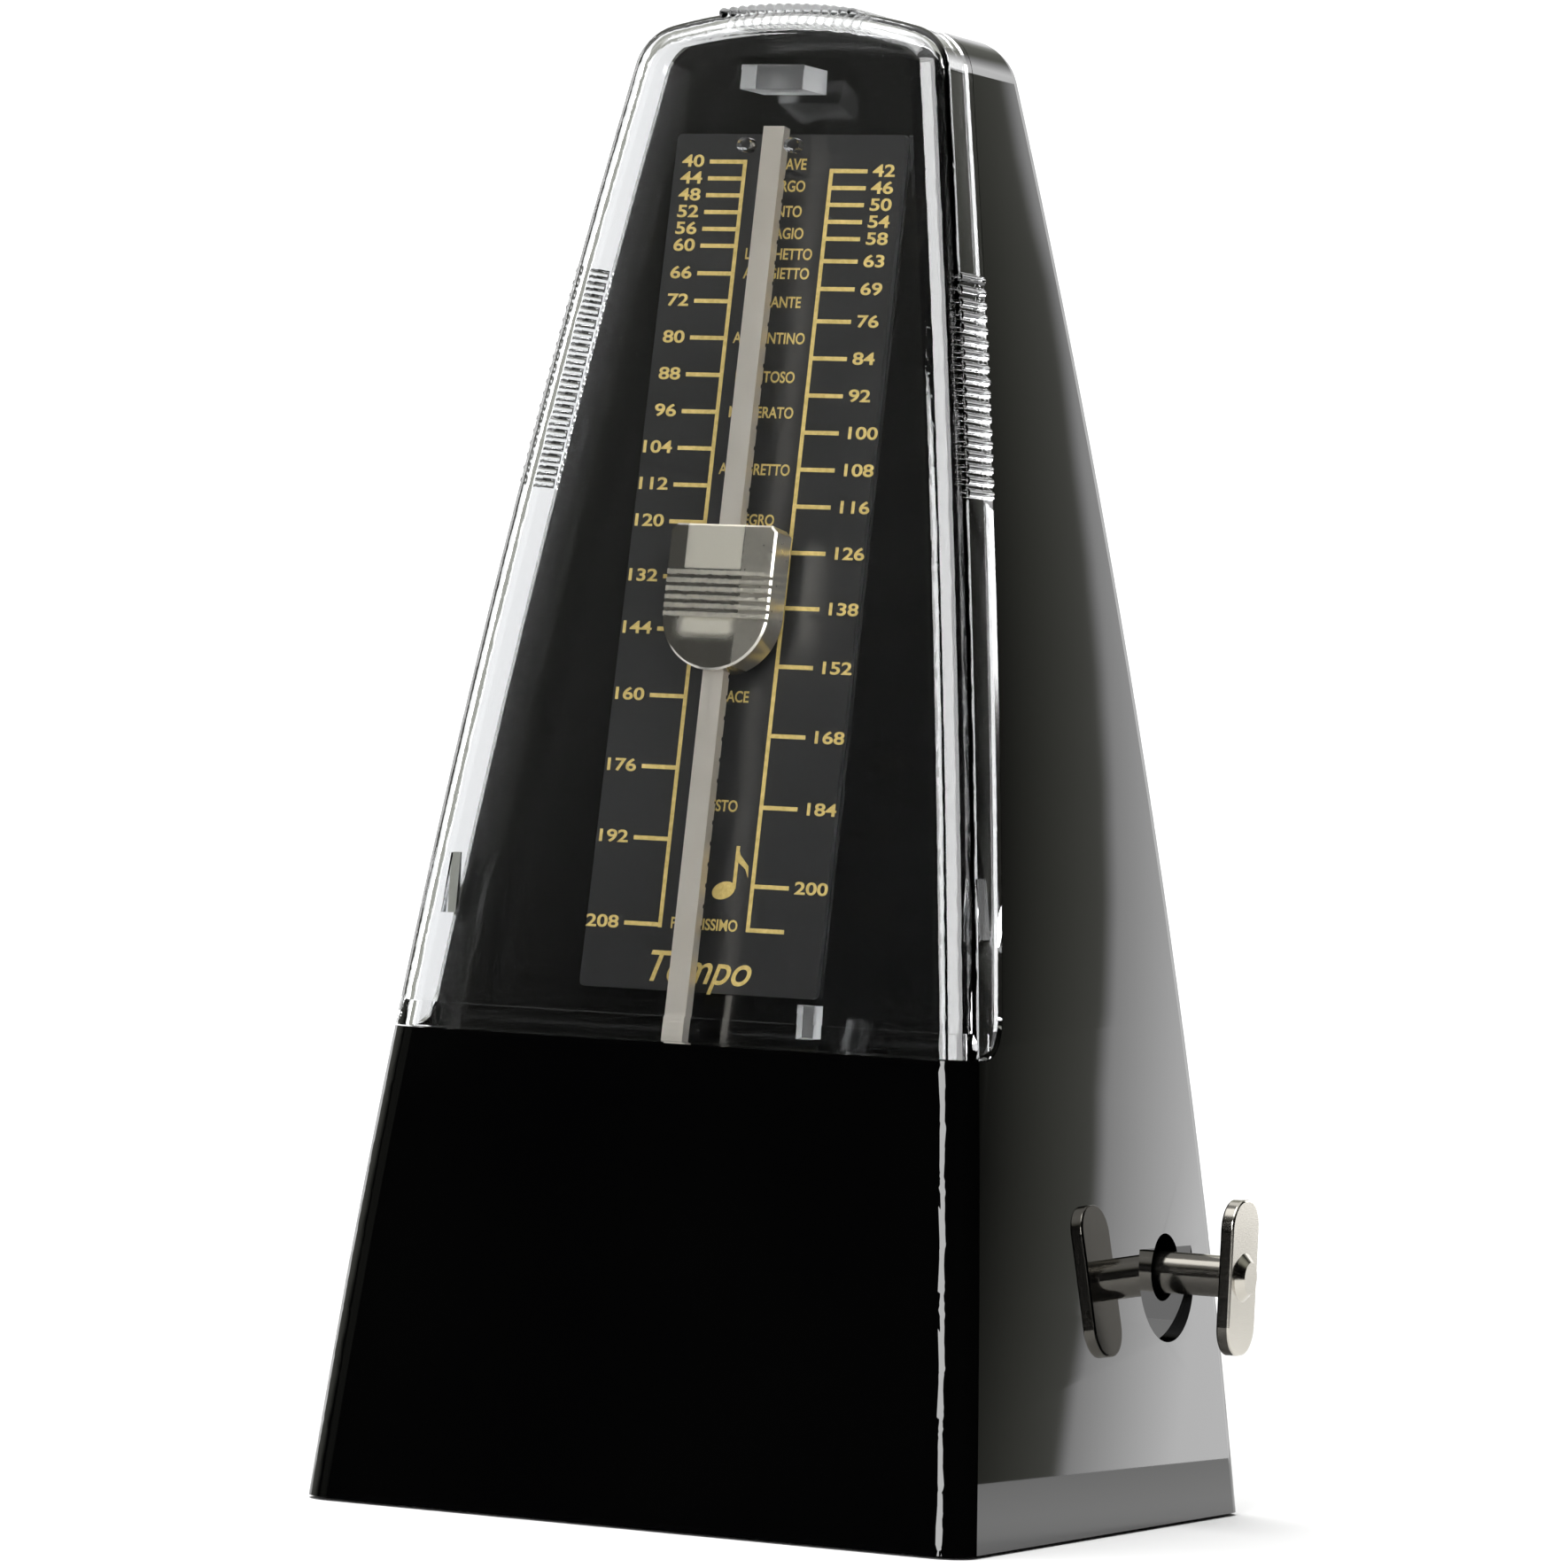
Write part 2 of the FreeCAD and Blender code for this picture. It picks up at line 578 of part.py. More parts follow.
def counterweight():
    """Heavy disc below the pivot with a groove for the rod."""
    disc = rod_y(WEIGHT_RADIUS, 0.0, WEIGHT_THICKNESS, 0.0, -WEIGHT_DROP)
    rims = [e for e in disc.Edges if abs(e.Length - 2 * math.pi * WEIGHT_RADIUS) < 0.1]
    disc = disc.makeChamfer(0.8, rims)
    half = ROD_WIDTH / 2
    groove = block((-half, -1.0, -WEIGHT_DROP - 20.0), (half, ROD_THICKNESS / 2, 0.0))
    rivet = rod_y(2.2, -1.6, -ROD_THICKNESS / 2, 0.0, -WEIGHT_DROP)
    rivet = rivet.fuse(rod_y(1.0, -1.6, 3.0, 0.0, -WEIGHT_DROP))
    return lean(disc.cut(groove).fuse(rivet.cut(groove)).removeSplitter())


def pallets():
    """Collar with two pallet arms that straddle the escape wheel's rim."""
    near = (ESCAPE_Y - PIVOT_Y) / math.cos(LEAN_ANGLE)
    collar = rod_y(3.4, near - 3.0, near + 3.0, 0.0, 0.0)
    shapes = [collar]
    for side in (-1, 1):
        ends = sorted((side * 1.8, side * 3.1))
        shapes.append(block((ends[0], near - 2.0, -8.0), (ends[1], near + 2.0, -1.0)))
    fork = joined(shapes).cut(rod_y(PENDULUM_ARBOR_RADIUS, 0.0, 80.0, 0.0, 0.0))
    return lean(fork)


def bob():
    """Sliding weight: flat-topped with a round bottom, grip ribs and a slot for the rod."""
    round_height = BOB_BOTTOM + BOB_HALF_WIDTH
    depth = BOB_BACK - BOB_FRONT
    lower = rod_y(BOB_HALF_WIDTH, BOB_FRONT, BOB_BACK, 0.0, round_height)
    upper = block((-BOB_HALF_WIDTH, BOB_FRONT, round_height), (BOB_HALF_WIDTH, BOB_BACK, BOB_TOP))
    body = joined([lower, upper])
    corners = []
    for edge in body.Edges:
        box = edge.BoundBox
        if abs(box.YLength - depth) < 0.01 and box.ZMin > BOB_TOP - 0.1:
            corners.append(edge)
    body = body.makeChamfer(0.9, corners)
    front_rim = [e for e in body.Edges if e.BoundBox.YMax < BOB_FRONT + 0.01]
    body = body.makeChamfer(BOB_RIM_CHAMFER, front_rim)
    for index in range(6):
        height = BOB_TOP - 7.6 - index * 1.25
        groove = block((-20.0, BOB_FRONT - 1.0, height - 0.5), (20.0, BOB_FRONT + 0.45, height))
        body = body.cut(groove)
    half = ROD_WIDTH / 2 + RUNNING_GAP
    deep = ROD_THICKNESS / 2 + RUNNING_GAP
    slot = block((-half, -deep, 0.0), (half, deep, ROD_TOP))
    return lean(body.cut(slot))


def bob_spring():
    """Leaf spring on the back of the bob that holds it on the rod."""
    leaf = block((-2.4, BOB_BACK, BOB_BOTTOM + 4.0), (2.4, BOB_BACK + 0.4, BOB_TOP - 3.0))
    rivets = [rod_y(1.0, BOB_BACK + 0.4, BOB_BACK + 0.9, 0.0, BOB_BOTTOM + 6.0)]
    rivets.append(rod_y(1.0, BOB_BACK + 0.4, BOB_BACK + 0.9, 0.0, BOB_TOP - 5.0))
    return lean(joined([leaf] + rivets))


def key_wing():
    """Flat oblong wing of the winding key."""
    half_y, half_z = WING_WIDTH / 2, WING_HEIGHT / 2
    low = (WING_INNER, KEY_Y - half_y, KEY_Z - half_z)
    wing = block(low, (WING_OUTER, KEY_Y + half_y, KEY_Z + half_z))
    ends = [e for e in wing.Edges if e.BoundBox.XLength > 1.0]
    wing = wing.makeFillet(WING_CORNER, ends)
    faces = [e for e in wing.Edges if e.BoundBox.XLength < 0.01]
    wing = wing.makeFillet(0.35, faces)
    return wing.cut(rod_x(RIVET_SHANK, 50.0, 70.0, KEY_Y, KEY_Z))


def key_stem():
    """Stem of the key, riveted through the wing and screwed on the arbor."""
    stem = rod_x(KEY_STEM_RADIUS, KEY_STEM_START, WING_INNER, KEY_Y, KEY_Z)
    shank = rod_x(RIVET_SHANK, WING_INNER - 0.2, WING_OUTER + 0.2, KEY_Y, KEY_Z)
    head = Part.makeCone(
        RIVET_RADIUS, RIVET_RADIUS - 1.3, RIVET_HEIGHT, Vector(WING_OUTER, KEY_Y, KEY_Z), Vector(1, 0, 0)
    )
    solid = joined([stem, shank, head])
    return solid.cut(rod_x(ARBOR_PIVOT, 30.0, 44.0, KEY_Y, KEY_Z))


def winding_arbor():
    """Stepped shaft from the key through the mainspring and wheels."""
    body = rod_x(ARBOR_RADIUS, -FRAME_HALF + 0.1, FRAME_HALF - 0.1, KEY_Y, KEY_Z)
    ends = rod_x(ARBOR_PIVOT, -FRAME_HALF - FRAME_PLATE - 0.8, 43.5, KEY_Y, KEY_Z)
    return joined([body, ends])


def toothed_wheel(teeth, root, tip, root_share, tip_share, start, thickness, y, z, turn=0.0):
    """Flat wheel with straight-sided teeth; the shares are tooth width over tooth pitch."""
    pitch = 2 * math.pi / teeth
    points = []
    for index in range(teeth):
        middle = turn + index * pitch
        corners = (
            (root, -root_share / 2),
            (tip, -tip_share / 2),
            (tip, tip_share / 2),
            (root, root_share / 2),
        )
        for radius, share in corners:
            angle = middle + share * pitch
            points.append((start, y + radius * math.cos(angle), z + radius * math.sin(angle)))
    return prism(points, (thickness, 0, 0))


def great_wheel():
    """Large driving wheel beside the ratchet."""
    pitch_radius = GEAR_MODULE * GREAT_TEETH / 2
    wheel = toothed_wheel(
        GREAT_TEETH, pitch_radius - 0.7, pitch_radius + 0.45, 0.5, 0.2, 13.0, 1.5, KEY_Y, KEY_Z,
        math.pi + MESH_ANGLE,
    )
    for index in range(4):
        angle = math.pi / 4 + index * math.pi / 2
        hole = rod_x(3.6, 10.0, 16.0, KEY_Y + 12.0 * math.cos(angle), KEY_Z + 12.0 * math.sin(angle))
        wheel = wheel.cut(hole)
    return wheel.cut(rod_x(ARBOR_RADIUS, 10.0, 16.0, KEY_Y, KEY_Z))


def ratchet_wheel():
    """Saw-toothed wheel that lets the key wind one way."""
    points = []
    teeth, tip, root = 18, 8.0, 6.8
    for index in range(teeth):
        angle = 2 * math.pi * index / teeth
        points.append((14.8, KEY_Y + tip * math.cos(angle), KEY_Z + tip * math.sin(angle)))
        points.append((14.8, KEY_Y + root * math.cos(angle), KEY_Z + root * math.sin(angle)))
    wheel = prism(points, (1.7, 0, 0))
    return wheel.cut(rod_x(ARBOR_RADIUS, 10.0, 20.0, KEY_Y, KEY_Z))


def click():
    """Pawl pivoted on the great wheel, resting against the ratchet."""
    y, z = KEY_Y + CLICK_OFFSET, KEY_Z
    outline = ((y - 1.8, z - 1.0), (y + 1.6, z - 2.2), (y + 1.2, z + 7.0), (y - 1.0, z + 7.0))
    lever = prism([(CLICK_FACE, across, up) for across, up in outline], (CLICK_THICKNESS, 0, 0))
    return joined([lever, rod_x(1.2, 14.5, 17.0, y, z)])


def click_spring():
    """Thin leaf that presses the click inwards."""
    y, z = KEY_Y + CLICK_SPRING_OFFSET, KEY_Z
    leaf = block((CLICK_FACE, y, z - 1.0), (CLICK_FACE + CLICK_THICKNESS, y + 0.5, z + 7.5))
    return joined([leaf, rod_x(0.9, 14.5, 16.8, y + 0.3, z + 8.2)])


def escape_arbor():
    """Shaft of the escape wheel between the movement plates."""
    body = rod_x(ESCAPE_ARBOR_RADIUS, -FRAME_HALF + 0.1, FRAME_HALF - 0.1, ESCAPE_Y, ESCAPE_Z)
    reach = FRAME_HALF + FRAME_PLATE + 0.5
    return joined([body, rod_x(ESCAPE_PIVOT, -reach, reach, ESCAPE_Y, ESCAPE_Z)])


def escape_pinion():
    """Small gear driven by the great wheel."""
    pitch_radius = GEAR_MODULE * PINION_TEETH / 2
    half_tooth = math.pi / PINION_TEETH
    pinion = toothed_wheel(
        PINION_TEETH, pitch_radius - 0.75, pitch_radius + 0.4, 0.42, 0.14, 11.5, 4.5, ESCAPE_Y, ESCAPE_Z,
        MESH_ANGLE + half_tooth,
    )
    return pinion.cut(rod_x(ESCAPE_ARBOR_RADIUS, 10.0, 20.0, ESCAPE_Y, ESCAPE_Z))


def escape_wheel():
    """Light wheel with raked teeth under the pallets."""
    middle = PENDULUM_X
    step = 2 * math.pi / ESCAPE_WHEEL_TEETH
    root = ESCAPE_WHEEL_RADIUS - ESCAPE_TOOTH_HEIGHT
    tooth = ((ESCAPE_WHEEL_RADIUS, 0.0), (root, 0.08), (root, 0.6))
    points = []
    for index in range(ESCAPE_WHEEL_TEETH):
        for radius, share in tooth:
            turn = (index + share) * step
            points.append(
                (middle - 0.6, ESCAPE_Y + radius * math.cos(turn), ESCAPE_Z + radius * math.sin(turn))
            )
    wheel = prism(points, (1.2, 0, 0))
    for index in range(5):
        turn = 2 * math.pi * index / 5
        hole = rod_x(2.2, -5.0, 5.0, ESCAPE_Y + 6.2 * math.cos(turn), ESCAPE_Z + 6.2 * math.sin(turn))
        wheel = wheel.cut(hole)
    hub = rod_x(3.2, middle - 2.5, middle + 2.5, ESCAPE_Y, ESCAPE_Z)
    return joined([wheel, hub]).cut(rod_x(ESCAPE_ARBOR_RADIUS, -10.0, 10.0, ESCAPE_Y, ESCAPE_Z))


PARTS = {
    "body_shell": body_shell,
    "inner_panel": inner_panel,
    "scale_plate": scale_plate,
    "front_cover": front_cover,
    "base_plate": base_plate,
    "base_screws": base_screws,
    "rubber_feet": rubber_feet,
    "movement_plate_left": lambda: movement_plate(-1),
    "movement_plate_right": lambda: movement_plate(1),
    "pillars": pillars,
    "pillar_screws": pillar_screws,
    "movement_screws": movement_screws,
    "front_bearing": front_bearing,
    "rear_bearing": rear_bearing,
    "mainspring": mainspring,
    "pendulum_rod": pendulum_rod,
    "pendulum_arbor": pendulum_arbor,
    "counterweight": counterweight,
    "pallets": pallets,
    "bob": bob,
    "bob_spring": bob_spring,
    "key_wing": key_wing,
    "key_stem": key_stem,
    "winding_arbor": winding_arbor,
    "great_wheel": great_wheel,
    "ratchet_wheel": ratchet_wheel,
    "click": click,
    "click_spring": click_spring,
    "escape_arbor": escape_arbor,
    "escape_pinion": escape_pinion,
    "escape_wheel": escape_wheel,
}


def main():
    """Write one STEP file for each named part."""
    os.makedirs("parts", exist_ok=True)
    for name, make in PARTS.items():
        shape = make()
        shape.exportStep("parts/" + name + ".step")
        print(name, "valid" if shape.isValid() else "INVALID", round(shape.Volume, 1), len(shape.Solids))


main()
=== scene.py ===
"""Looks for the tower metronome: materials, printed scale, camera and studio light."""

import math

import bpy
from mathutils import Matrix, Vector


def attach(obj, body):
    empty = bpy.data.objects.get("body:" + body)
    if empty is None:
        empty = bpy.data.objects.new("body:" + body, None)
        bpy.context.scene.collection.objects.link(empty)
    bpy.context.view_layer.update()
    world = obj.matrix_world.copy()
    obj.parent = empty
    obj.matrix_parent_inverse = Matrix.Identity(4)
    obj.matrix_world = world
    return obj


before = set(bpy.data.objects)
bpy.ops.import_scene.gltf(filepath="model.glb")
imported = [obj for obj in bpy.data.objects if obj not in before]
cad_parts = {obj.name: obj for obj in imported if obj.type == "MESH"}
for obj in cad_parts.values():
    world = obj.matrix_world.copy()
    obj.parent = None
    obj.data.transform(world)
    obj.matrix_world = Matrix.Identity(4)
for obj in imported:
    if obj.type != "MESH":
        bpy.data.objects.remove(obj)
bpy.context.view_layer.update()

MM = 0.001

# --- Leaning scale plate, in millimetres -------------------------------------
LEAN = 0.14
LEAN_ANGLE = math.atan(LEAN)
LEAN_HEIGHT = 72.0
PLATE_FRONT = -34.2
SCALE_X = -1.35
PRINT_LIFT = 0.04
PRINT_DEPTH = 0.02
LINE_HALF_GAP = 7.2
LINE_WIDTH = 0.62
TICK_LENGTH = 5.9
LINE_BOTTOM = 86.8
LEFT_TEMPOS = (
    40, 44, 48, 52, 56, 60, 66, 72, 80, 88,
    96, 104, 112, 120, 132, 144, 160, 176, 192, 208,
)
RIGHT_TEMPOS = (
    42, 46, 50, 54, 58, 63, 69, 76, 84, 92,
    100, 108, 116, 126, 138, 152, 168, 184, 200,
)
# Height of the scale's marks at a few tempos; the marks between are evenly spaced by tempo.
TEMPO_HEIGHTS = (
    (40, 200.6), (60, 187.9), (96, 163.0), (120, 146.5),
    (138, 134.2), (160, 120.6), (192, 99.5), (208, 86.9),
)
TEMPO_WORDS = {
    "GRAVE": 200.2, "LARGO": 196.9, "LENTO": 193.1, "ADAGIO": 189.8, "LARGHETTO": 186.7,
    "ADAGIETTO": 183.8, "ANDANTE": 179.5, "ANDANTINO": 174.1, "MAESTOSO": 168.3,
    "MODERATO": 163.0, "ALLEGRETTO": 154.5, "ALLEGRO": 147.0, "VIVACE": 120.8,
    "PRESTO": 104.7, "PRESTISSIMO": 87.2,
}

# --- Painted reflection and satin on the weight, frosted places on the cover ----
# The weight's middle strip and foot are painted lighter as painted reflection and made rougher. Its rib
# lands get painted highlights, and its right part is painted lighter as painted reflection, with grain
# bumps.
BOB_SHEEN_STRIP_ACROSS = (-7.1, 2.1)
BOB_SHEEN_STRIP_RISE = (139.4, 150.0)
BOB_FOOT_SHEEN_RISE = (129.4, 132.8)
BOB_LAND_TOP, BOB_LAND_PITCH, BOB_LAND_HEIGHT = 139.2, 1.24, 0.7
BOB_LAND_COUNT = 6
BOB_LAND_HIGHLIGHT_TONE = 0.85
BOB_GRAIN_SHEEN_ACROSS = (2.1, 9.0)
CROWN_FROST = 222.6
FROST_SOFT = 0.05
FROSTED_PLACES = (
    ((-6.6, 3.8), (-23.0, -14.0), (210.6, 214.4)),
    ((19.5, 22.3), (-42.7, -38.0), (71.7, 76.7)),
)
NOTE_X, NOTE_LOW, NOTE_HIGH = 1.2, 92.4, 99.0
NOTE_HALF_LENGTH, NOTE_HALF_WIDTH = 1.9, 1.25
NOTE_STEM, NOTE_STEM_HALF = 1.65, 0.28
NOTE_TILT = 0.35
NOTE_STEPS = 32
NUMBER_HEIGHT = 1.8
NUMBER_STRETCH = 1.42
NUMBER_GAP = 0.9
NUMBER_WEIGHT = 0.05
WORD_HEIGHT = 1.65
WORD_STRETCH = 0.82
WORD_WEIGHT = 0.04
TITLE = "Tempo"
TITLE_SHIFT, TITLE_RISE = -0.6, 80.6
TITLE_HEIGHT, TITLE_STRETCH, TITLE_SLOPE = 4.6, 0.92, 0.35

# --- Camera, in metres and degrees --------------------------------------------
CAMERA_AZIMUTH = 25.70
CAMERA_DISTANCE = 1.1292
CAMERA_HEIGHT = 0.10647
CAMERA_PITCH = 0.225
CAMERA_ROLL = 2.784
CAMERA_LENS = 172.38
CAMERA_SHIFT = (-0.01912, 0.02852)

# --- Studio, in metres and degrees from the scale side -------------------------
OBJECT_MIDDLE = 0.106
FLOOR_SIZE = 0.9
BACKDROP_RIGHT = 156.73
BACKDROP_TILT = 0.19
BACKDROP_TILT_HEIGHT = 3.2
BACKDROP_MIDDLE = 205.7
BACKDROP_LEFT = 250.0


# =============================== materials ====================================
def new_material(name):
    """Material with a bare Principled shader; returns it with its tree and shader."""
    material = bpy.data.materials.new(name)
    material.use_nodes = True
    tree = material.node_tree
    shader = tree.nodes["Principled BSDF"]
    return material, tree, shader


def noise(tree, scale, detail=3.0, stretch=(1.0, 1.0, 1.0)):
    """Noise in object space, so it stays on the surface; returns its value socket."""
    place = tree.nodes.new("ShaderNodeTexCoord")
    mapping = tree.nodes.new("ShaderNodeMapping")
    mapping.inputs["Scale"].default_value = stretch
    texture = tree.nodes.new("ShaderNodeTexNoise")
    texture.inputs["Scale"].default_value = scale
    texture.inputs["Detail"].default_value = detail
    tree.links.new(place.outputs["Object"], mapping.inputs["Vector"])
    tree.links.new(mapping.outputs["Vector"], texture.inputs["Vector"])
    return texture.outputs["Fac"]


def ramp(tree, value, low, high, start=0.3, end=0.7):
    """Two-colour ramp driven by a value; returns its colour socket."""
    node = tree.nodes.new("ShaderNodeValToRGB")
    node.color_ramp.elements[0].position = start
    node.color_ramp.elements[1].position = end
    node.color_ramp.elements[0].color = (*low, 1.0)
    node.color_ramp.elements[1].color = (*high, 1.0)
    tree.links.new(value, node.inputs["Fac"])
    return node.outputs["Color"]


def span(tree, value, low, high):
    """Maps a 0 to 1 value onto a range; returns its value socket."""
    node = tree.nodes.new("ShaderNodeMapRange")
    node.inputs["To Min"].default_value = low
    node.inputs["To Max"].default_value = high
    tree.links.new(value, node.inputs["Value"])
    return node.outputs["Result"]


def bump(tree, shader, value, strength, distance):
    """Bumps a shader's normal with a value."""
    node = tree.nodes.new("ShaderNodeBump")
    node.inputs["Strength"].default_value = strength
    node.inputs["Distance"].default_value = distance
    tree.links.new(value, node.inputs["Height"])
    tree.links.new(node.outputs["Normal"], shader.inputs["Normal"])


def moulded_plastic(name, dark, light, rough_low, rough_high, grain, strength):
    """Moulded plastic with faint colour and gloss variation."""
    material, tree, shader = new_material(name)
    fine = noise(tree, grain)
    broad = noise(tree, 18.0, 2.0)
    tree.links.new(ramp(tree, broad, dark, light), shader.inputs["Base Color"])
    tree.links.new(span(tree, broad, rough_low, rough_high), shader.inputs["Roughness"])
    shader.inputs["IOR"].default_value = 1.5
    bump(tree, shader, fine, strength, 0.0001)
    return material


def worn_metal(name, dark, light, rough_low, rough_high, stretch, grain=900.0, strength=0.05):
    """Metal with fine stretched grain and soft tone changes."""
    material, tree, shader = new_material(name)
    lines = noise(tree, grain, 2.0, stretch)
    broad = noise(tree, 60.0, 3.0)
    tree.links.new(ramp(tree, broad, dark, light), shader.inputs["Base Color"])
    tree.links.new(span(tree, lines, rough_low, rough_high), shader.inputs["Roughness"])
    shader.inputs["Metallic"].default_value = 1.0
    bump(tree, shader, lines, strength, 0.00005)
    return material


def coordinates(tree):
    """Object-space position, split into its X, Y and Z sockets."""
    place = tree.nodes.new("ShaderNodeTexCoord")
    split = tree.nodes.new("ShaderNodeSeparateXYZ")
    tree.links.new(place.outputs["Object"], split.inputs["Vector"])
    return split.outputs


def combine(tree, operation, first, second):
    """Arithmetic on two values; returns its value socket."""
    node = tree.nodes.new("ShaderNodeMath")
    node.operation = operation
    for socket, value in zip(node.inputs, (first, second)):
        if isinstance(value, float):
            socket.default_value = value
        else:
            tree.links.new(value, socket)
    return node.outputs["Value"]


def band(tree, value, low, high, soft):
    """1 between two places in millimetres along an axis and 0 outside, with soft steps."""
    steps = []
    for place, sense in ((low, 1.0), (high, -1.0)):
        node = tree.nodes.new("ShaderNodeMapRange")
        node.inputs["From Min"].default_value = (place - sense * soft) * MM
        node.inputs["From Max"].default_value = (place + sense * soft) * MM
        tree.links.new(value, node.inputs["Value"])
        steps.append(node.outputs["Result"])
    return combine(tree, "MULTIPLY", steps[0], steps[1])


def bob_nickel():
    """Polished nickel, painted lighter as painted reflection and made rougher on the weight's middle, foot
    and rib lands, and painted lighter with grain bumps on its right.
    """
    material, tree, shader = new_material("bob_nickel")
    speckle = noise(tree, 1600.0, 2.0)
    place = coordinates(tree)
    # Middle strip and foot: painted reflection, as a lighter colour, together with more roughness.
    sheen_strip = combine(
        tree,
        "MULTIPLY",
        band(tree, place["X"], *BOB_SHEEN_STRIP_ACROSS, 0.15),
        band(tree, place["Z"], *BOB_SHEEN_STRIP_RISE, 0.15),
    )
    foot = combine(
        tree,
        "MULTIPLY",
        band(tree, place["X"], *BOB_SHEEN_STRIP_ACROSS, 1.1),
        band(tree, place["Z"], *BOB_FOOT_SHEEN_RISE, 0.8),
    )
    sheen_strip = combine(tree, "MAXIMUM", sheen_strip, foot)
    # Right part: painted reflection, as a lighter colour with speckle, plus grain bumps.
    grained_sheen = combine(
        tree,
        "MULTIPLY",
        band(tree, place["X"], *BOB_GRAIN_SHEEN_ACROSS, 0.2),
        span(tree, speckle, 0.35, 0.95),
    )
    # Rib lands: painted highlights, lighter in speckled patches.
    for index in range(BOB_LAND_COUNT):
        top = BOB_LAND_TOP - index * BOB_LAND_PITCH
        land = band(tree, place["Z"], top - BOB_LAND_HEIGHT, top, 0.15)
        land_highlight = combine(tree, "MULTIPLY", land, combine(tree, "MULTIPLY", speckle, 2 * BOB_LAND_HIGHLIGHT_TONE))
        sheen_strip = combine(tree, "MAXIMUM", sheen_strip, combine(tree, "MINIMUM", land_highlight, 1.0))
    # Painted reflection and highlights as a lighter base colour, together with more roughness.
    tone = combine(tree, "MAXIMUM", sheen_strip, combine(tree, "MULTIPLY", grained_sheen, 0.75))
    colour = ramp(tree, tone, (0.58, 0.55, 0.50), (0.80, 0.76, 0.65), 0.0, 1.0)
    tree.links.new(colour, shader.inputs["Base Color"])
    tree.links.new(span(tree, tone, 0.17, 0.44), shader.inputs["Roughness"])
    shader.inputs["Metallic"].default_value = 1.0
    bump(tree, shader, grained_sheen, 0.12, 0.00005)
    return material


def clear_plastic():
    """Water-clear moulded cover, frosted on its crown ribs, catch and foot tab."""
    material, tree, shader = new_material("cover_clear_look")
    broad = noise(tree, 25.0, 1.0)
    place = coordinates(tree)
    frost = band(tree, place["Z"], CROWN_FROST, 2 * CROWN_FROST, 0.2)
    for across, depth, rise in FROSTED_PLACES:
        patch = combine(
            tree,
            "MULTIPLY",
            band(tree, place["X"], *across, FROST_SOFT),
            band(tree, place["Z"], *rise, FROST_SOFT),
        )
        patch = combine(tree, "MULTIPLY", patch, band(tree, place["Y"], *depth, FROST_SOFT))
        frost = combine(tree, "MAXIMUM", frost, patch)
    tint = ramp(tree, broad, (0.94, 0.95, 0.96), (0.965, 0.97, 0.975))
    tree.links.new(tint, shader.inputs["Base Color"])
    smooth = span(tree, broad, 0.0, 0.03)
    rough = combine(tree, "MAXIMUM", smooth, span(tree, frost, 0.0, 0.35))
    tree.links.new(rough, shader.inputs["Roughness"])
    tree.links.new(span(tree, frost, 1.0, 0.92), shader.inputs["Transmission Weight"])
    shader.inputs["IOR"].default_value = 1.49
    return material


def printed_gold():
    """Gold screen print with slight unevenness."""
    material, tree, shader = new_material("printed_gold_look")
    speckle = noise(tree, 1400.0, 2.0)
    tree.links.new(
        ramp(tree, speckle, (0.50, 0.37, 0.11), (0.66, 0.50, 0.18)), shader.inputs["Base Color"]
    )
    tree.links.new(span(tree, speckle, 0.4, 0.6), shader.inputs["Roughness"])
    shader.inputs["Metallic"].default_value = 0.25
    return material


def dress(material, *nodes):
    """Gives a material to CAD nodes."""
    for name in nodes:
        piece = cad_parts[name]
        if not piece.material_slots:
            piece.data.materials.append(material)
        for slot in piece.material_slots:
            slot.material = material


GLOSS_BLACK = moulded_plastic(
    "case_gloss_black", (0.0006, 0.0006, 0.0007), (0.001, 0.001, 0.001),
    0.005, 0.02, 700.0, 0.0,
)
PANEL_BLACK = moulded_plastic(
    "panel_satin_black", (0.0050, 0.0050, 0.0050), (0.0065, 0.0065, 0.0065),
    0.1, 0.16, 1500.0, 0.01,
)
PLATE_DARK = moulded_plastic(
    "scale_plate_dark", (0.014, 0.014, 0.0142), (0.018, 0.018, 0.0182),
    0.32, 0.42, 3000.0, 0.05,
)
BASE_BLACK = moulded_plastic(
    "base_matte_black", (0.012, 0.012, 0.012), (0.02, 0.02, 0.02),
    0.5, 0.7, 2500.0, 0.2,
)
RUBBER = moulded_plastic(
    "foot_rubber_look", (0.015, 0.015, 0.015), (0.03, 0.03, 0.03),
    0.7, 0.9, 3000.0, 0.3,
)
NICKEL = worn_metal(
    "polished_nickel", (0.50, 0.475, 0.42), (0.60, 0.57, 0.51),
    0.1, 0.2, (0.3, 1.0, 6.0),
)
SATIN_NICKEL = worn_metal(
    "satin_nickel", (0.70, 0.65, 0.57), (0.80, 0.75, 0.67),
    0.38, 0.5, (8.0, 1.0, 0.2),
)
STEEL = worn_metal(
    "movement_steel", (0.42, 0.42, 0.43), (0.55, 0.55, 0.56),
    0.3, 0.45, (1.0, 1.0, 8.0),
)
SPRING = worn_metal(
    "blued_spring_steel", (0.2, 0.22, 0.27), (0.32, 0.33, 0.36),
    0.25, 0.4, (6.0, 1.0, 1.0),
)
BRASS = worn_metal(
    "clock_brass", (0.62, 0.45, 0.17), (0.74, 0.56, 0.24),
    0.22, 0.36, (1.0, 5.0, 5.0),
)
IRON = worn_metal(
    "cast_weight", (0.16, 0.16, 0.16), (0.26, 0.26, 0.26),
    0.5, 0.7, (1.0, 1.0, 1.0), 500.0, 0.4,
)
BOB_NICKEL_PAINTED_SHEEN = bob_nickel()
CLEAR = clear_plastic()
GOLD = printed_gold()

